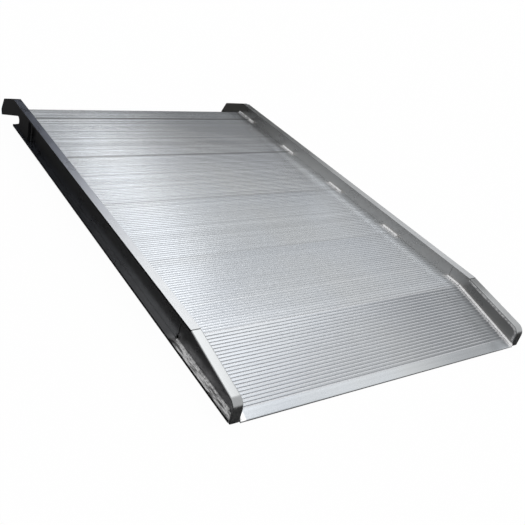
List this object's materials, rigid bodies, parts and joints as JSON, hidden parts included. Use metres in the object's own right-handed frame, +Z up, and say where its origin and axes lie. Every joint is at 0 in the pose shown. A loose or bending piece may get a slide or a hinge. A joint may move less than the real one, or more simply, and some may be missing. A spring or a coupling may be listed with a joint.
{
  "type": "loading ramp",
  "caption": "Aluminium loading ramp: ribbed planks welded between two channel rails, with hooks that lie on a dock or truck bed and a bevelled toe that meets the ground.",
  "frame": {"origin": "on the floor, at the middle of the ramp's length and width as it lies on its toe lip and two hook tips", "axes": "+X to the right rail seen from the toe, +Y along the ramp towards the hooks, +Z up"},
  "size_m": [0.9652, 1.6702, 0.112],
  "materials": {
    "deck": "mill-finish ribbed extrusion, bright with fine drawn lines across the ramp, light scuffs",
    "rail": "mill-finish extruded channel, satin, with dark soft reflections and fine lines along it",
    "hook": "cut plate, dull dark grey with faint marks",
    "toe_cap": "bent flat bar, satin",
    "weld": "bright rippled weld bead"
  },
  "bodies": {
    "root": {"deck_top_strip": "deck", "deck_plank_1": "deck", "deck_plank_2": "deck", "deck_plank_3": "deck", "deck_plank_4": "deck", "toe_plank": "deck", "rail_left": "rail", "hook_plate_left": "hook", "toe_side_plate_left": "rail", "toe_cap_left": "toe_cap", "deck_weld_left_1": "weld", "deck_weld_left_2": "weld", "deck_weld_left_3": "weld", "deck_weld_left_4": "weld", "deck_weld_left_5": "weld", "toe_bead_left": "weld", "underside_weld_left_1": "weld", "underside_weld_left_2": "weld", "underside_weld_left_3": "weld", "underside_weld_left_4": "weld", "hook_weld_left": "weld", "web_seam_weld_left": "weld", "toe_flange_weld_left": "weld", "toe_cap_weld_left": "weld", "rail_right": "rail", "hook_plate_right": "hook", "toe_side_plate_right": "rail", "toe_cap_right": "toe_cap", "deck_weld_right_1": "weld", "deck_weld_right_2": "weld", "deck_weld_right_3": "weld", "deck_weld_right_4": "weld", "deck_weld_right_5": "weld", "toe_bead_right": "weld", "underside_weld_right_1": "weld", "underside_weld_right_2": "weld", "underside_weld_right_3": "weld", "underside_weld_right_4": "weld", "hook_weld_right": "weld", "web_seam_weld_right": "weld", "toe_flange_weld_right": "weld", "toe_cap_weld_right": "weld"}
  },
  "joints": []
}
